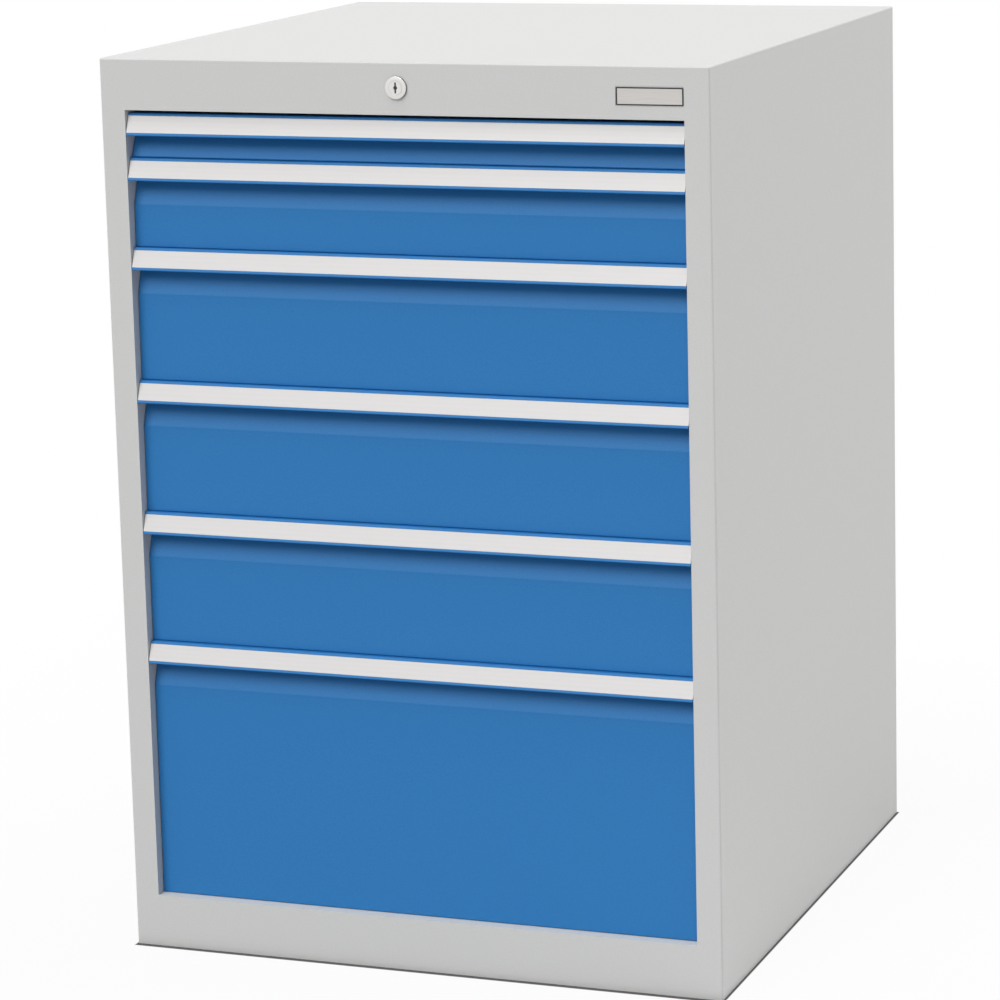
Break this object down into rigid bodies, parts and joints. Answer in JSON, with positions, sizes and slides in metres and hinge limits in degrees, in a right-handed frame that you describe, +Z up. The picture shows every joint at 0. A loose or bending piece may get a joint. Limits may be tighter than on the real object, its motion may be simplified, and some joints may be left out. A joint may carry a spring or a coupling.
{
  "type": "drawer cabinet",
  "caption": "Free-standing steel drawer cabinet: drawers on full-extension roller runners behind slanted grip fronts, central lock in the header.",
  "frame": {"origin": "centre of the cabinet's footprint, on the floor", "axes": "+Z up, +X to the right seen from the front, -Y out of the front, the way the drawers open"},
  "size_m": [0.705, 0.739, 1.019],
  "materials": {
    "grey_paint": "light grey powder coat, satin",
    "blue_paint": "blue powder coat, satin",
    "strip_plastic": "light grey, matt",
    "tray_paint": "light grey powder coat, satin",
    "galvanised_steel": "zinc plated",
    "roller_plastic": "dark grey moulded",
    "lock_nickel": "satin nickel",
    "badge_aluminium": "bare satin"
  },
  "bodies": {
    "cabinet": {"left_side_panel": "grey_paint", "right_side_panel": "grey_paint", "top_cover": "grey_paint", "badge_plate": "badge_aluminium", "bottom_rail": "grey_paint", "base_pan": "grey_paint", "back_panel": "grey_paint", "front_uprights": "grey_paint", "rear_uprights": "grey_paint", "cabinet_rails": "galvanised_steel", "cabinet_rollers": "roller_plastic", "lock_housing": "lock_nickel", "lock_nut": "galvanised_steel", "lock_rod_bracket": "galvanised_steel", "lock_bar_guides": "galvanised_steel"},
    "drawer_1": {"drawer_1_front": "blue_paint", "drawer_1_grip_strip": "strip_plastic", "drawer_1_tray": "tray_paint", "drawer_1_rails": "galvanised_steel", "drawer_1_rollers": "roller_plastic"},
    "middle_1": {"middle_1_rails": "galvanised_steel", "middle_1_rollers": "roller_plastic"},
    "drawer_2": {"drawer_2_front": "blue_paint", "drawer_2_grip_strip": "strip_plastic", "drawer_2_tray": "tray_paint", "drawer_2_rails": "galvanised_steel", "drawer_2_rollers": "roller_plastic"},
    "middle_2": {"middle_2_rails": "galvanised_steel", "middle_2_rollers": "roller_plastic"},
    "drawer_3": {"drawer_3_front": "blue_paint", "drawer_3_grip_strip": "strip_plastic", "drawer_3_tray": "tray_paint", "drawer_3_rails": "galvanised_steel", "drawer_3_rollers": "roller_plastic"},
    "middle_3": {"middle_3_rails": "galvanised_steel", "middle_3_rollers": "roller_plastic"},
    "drawer_4": {"drawer_4_front": "blue_paint", "drawer_4_grip_strip": "strip_plastic", "drawer_4_tray": "tray_paint", "drawer_4_rails": "galvanised_steel", "drawer_4_rollers": "roller_plastic"},
    "middle_4": {"middle_4_rails": "galvanised_steel", "middle_4_rollers": "roller_plastic"},
    "drawer_5": {"drawer_5_front": "blue_paint", "drawer_5_grip_strip": "strip_plastic", "drawer_5_tray": "tray_paint", "drawer_5_rails": "galvanised_steel", "drawer_5_rollers": "roller_plastic"},
    "middle_5": {"middle_5_rails": "galvanised_steel", "middle_5_rollers": "roller_plastic"},
    "drawer_6": {"drawer_6_front": "blue_paint", "drawer_6_grip_strip": "strip_plastic", "drawer_6_tray": "tray_paint", "drawer_6_rails": "galvanised_steel", "drawer_6_rollers": "roller_plastic"},
    "middle_6": {"middle_6_rails": "galvanised_steel", "middle_6_rollers": "roller_plastic"},
    "lock_key_shaft": {"lock_plug": "lock_nickel", "lock_rod": "galvanised_steel"},
    "lock_bar": {"lock_bar": "galvanised_steel"}
  },
  "joints": [
    {"name": "drawer_1_slide", "type": "slide", "parent": "cabinet", "child": "drawer_1", "axis": [0, -1, 0], "range_m": [0, 0.6]},
    {"name": "middle_1_slide", "type": "slide", "parent": "cabinet", "child": "middle_1", "axis": [0, -1, 0], "range_m": [0, 0.3]},
    {"name": "drawer_2_slide", "type": "slide", "parent": "cabinet", "child": "drawer_2", "axis": [0, -1, 0], "range_m": [0, 0.6]},
    {"name": "middle_2_slide", "type": "slide", "parent": "cabinet", "child": "middle_2", "axis": [0, -1, 0], "range_m": [0, 0.3]},
    {"name": "drawer_3_slide", "type": "slide", "parent": "cabinet", "child": "drawer_3", "axis": [0, -1, 0], "range_m": [0, 0.6]},
    {"name": "middle_3_slide", "type": "slide", "parent": "cabinet", "child": "middle_3", "axis": [0, -1, 0], "range_m": [0, 0.3]},
    {"name": "drawer_4_slide", "type": "slide", "parent": "cabinet", "child": "drawer_4", "axis": [0, -1, 0], "range_m": [0, 0.6]},
    {"name": "middle_4_slide", "type": "slide", "parent": "cabinet", "child": "middle_4", "axis": [0, -1, 0], "range_m": [0, 0.3]},
    {"name": "drawer_5_slide", "type": "slide", "parent": "cabinet", "child": "drawer_5", "axis": [0, -1, 0], "range_m": [0, 0.6]},
    {"name": "middle_5_slide", "type": "slide", "parent": "cabinet", "child": "middle_5", "axis": [0, -1, 0], "range_m": [0, 0.3]},
    {"name": "drawer_6_slide", "type": "slide", "parent": "cabinet", "child": "drawer_6", "axis": [0, -1, 0], "range_m": [0, 0.6]},
    {"name": "middle_6_slide", "type": "slide", "parent": "cabinet", "child": "middle_6", "axis": [0, -1, 0], "range_m": [0, 0.3]},
    {"name": "lock_turn", "type": "hinge", "parent": "cabinet", "child": "lock_key_shaft", "pos_m": [0, -0.368, 0.9917], "axis": [0, 1, 0], "range_deg": [0, 91]},
    {"name": "lock_bar_lift", "type": "slide", "parent": "cabinet", "child": "lock_bar", "axis": [0, 0, 1], "range_m": [0, 0.01202]}
  ],
  "couplings": [
    {"joint": "middle_1_slide", "follows": "drawer_1_slide", "ratio": 0.5},
    {"joint": "middle_2_slide", "follows": "drawer_2_slide", "ratio": 0.5},
    {"joint": "middle_3_slide", "follows": "drawer_3_slide", "ratio": 0.5},
    {"joint": "middle_4_slide", "follows": "drawer_4_slide", "ratio": 0.5},
    {"joint": "middle_5_slide", "follows": "drawer_5_slide", "ratio": 0.5},
    {"joint": "middle_6_slide", "follows": "drawer_6_slide", "ratio": 0.5},
    {"joint": "lock_turn", "follows": "lock_bar_lift", "rad_per_m": 130.67}
  ]
}
